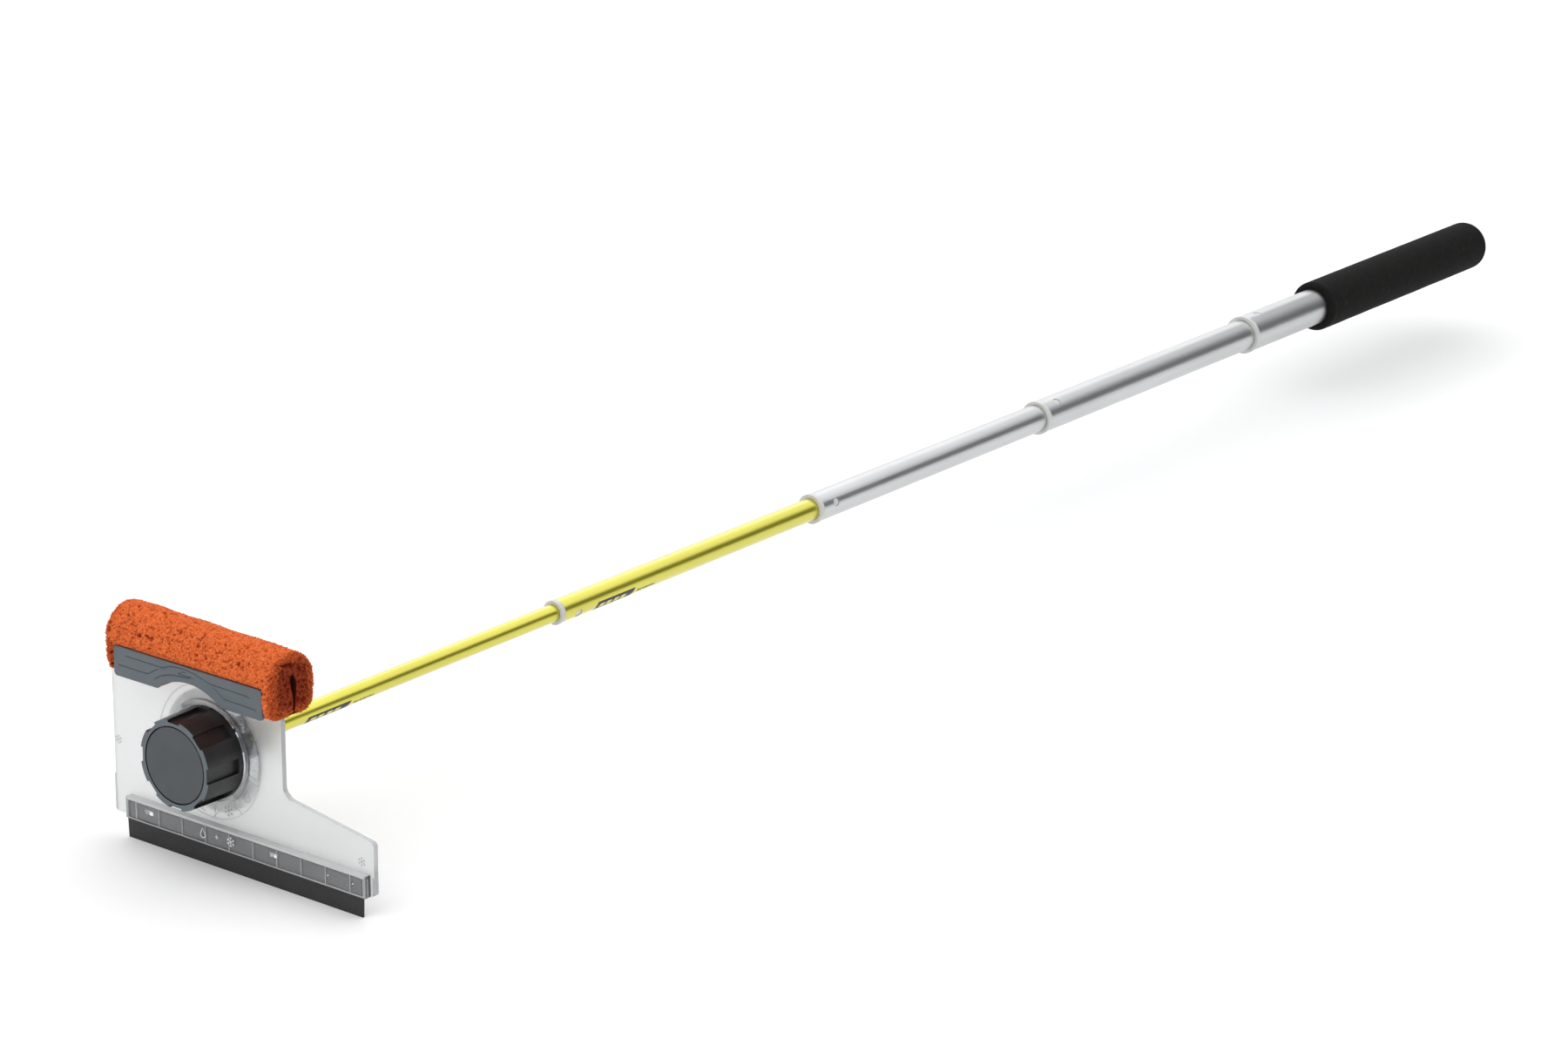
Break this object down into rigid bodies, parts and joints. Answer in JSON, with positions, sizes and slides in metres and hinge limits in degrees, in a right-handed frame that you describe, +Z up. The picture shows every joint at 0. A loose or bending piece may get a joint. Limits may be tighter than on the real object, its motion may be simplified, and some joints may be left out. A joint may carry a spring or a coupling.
{
  "type": "snow scraper",
  "caption": "Telescopic car window tool: clear scraper plate with ice edges, sponge and rubber squeegee, clamped by a large knob to a sliding aluminium pole with a foam grip.",
  "frame": {"origin": "middle of the foam grip, on the pole axis", "axes": "+Y along the pole from the head to the grip, +Z up towards the sponge side of the head, +X along the squeegee towards the long wing"},
  "size_m": [0.1838, 1.3248, 0.1313],
  "materials": {
    "silver_aluminium": "satin anodised",
    "green_aluminium": "satin yellow-green anodised",
    "black_foam": "matte closed-cell foam",
    "black_plastic": "satin",
    "white_plastic": "satin, slightly milky",
    "steel": "zinc plated",
    "black_rubber": "matte",
    "clear_plastic": "frosted, glossy in the dial",
    "orange_sponge": "open-cell, matte",
    "grey_plastic": "fine satin texture",
    "brass": "machined"
  },
  "bodies": {
    "handle": {"handle_tube": "silver_aluminium", "foam_grip": "black_foam", "end_plug": "black_plastic", "collar_1": "white_plastic"},
    "section_2": {"tube_2": "silver_aluminium", "collar_2": "white_plastic", "bush_2": "white_plastic"},
    "section_3": {"tube_3": "silver_aluminium", "collar_3": "white_plastic", "bush_3": "white_plastic"},
    "section_4": {"tube_4": "green_aluminium", "collar_4": "white_plastic", "bush_4": "white_plastic"},
    "section_5": {"tube_5": "green_aluminium", "bush_5": "white_plastic", "pole_adapter": "black_plastic", "adapter_pin": "steel", "clamp_stud": "steel", "friction_washer": "black_rubber"},
    "head": {"scraper_plate": "clear_plastic", "squeegee_holder": "clear_plastic", "squeegee_blade": "black_rubber", "sponge": "orange_sponge", "clamp_bar_front": "grey_plastic", "clamp_bar_rear": "grey_plastic", "clamp_screws": "steel", "hub_retainer": "clear_plastic", "retainer_screws": "steel"},
    "knob": {"knob_body": "black_plastic", "knob_cap": "grey_plastic", "knob_nut": "brass", "thrust_washer": "steel"}
  },
  "joints": [
    {"name": "section_2_slide", "type": "slide", "parent": "handle", "child": "section_2", "axis": [0, 1, 0], "range_m": [0, 0.2425]},
    {"name": "section_3_slide", "type": "slide", "parent": "section_2", "child": "section_3", "axis": [0, 1, 0], "range_m": [0, 0.233]},
    {"name": "section_4_slide", "type": "slide", "parent": "section_3", "child": "section_4", "axis": [0, 1, 0], "range_m": [0, 0.2315]},
    {"name": "section_5_slide", "type": "slide", "parent": "section_4", "child": "section_5", "axis": [0, 1, 0], "range_m": [0, 0.223]},
    {"name": "head_swivel", "type": "hinge", "parent": "section_5", "child": "head", "pos_m": [0, -1.188, 0], "axis": [0, -1, 0], "continuous": true},
    {"name": "knob_turn", "type": "hinge", "parent": "head", "child": "knob", "pos_m": [0, -1.188, 0], "axis": [0, -1, 0], "continuous": true}
  ]
}
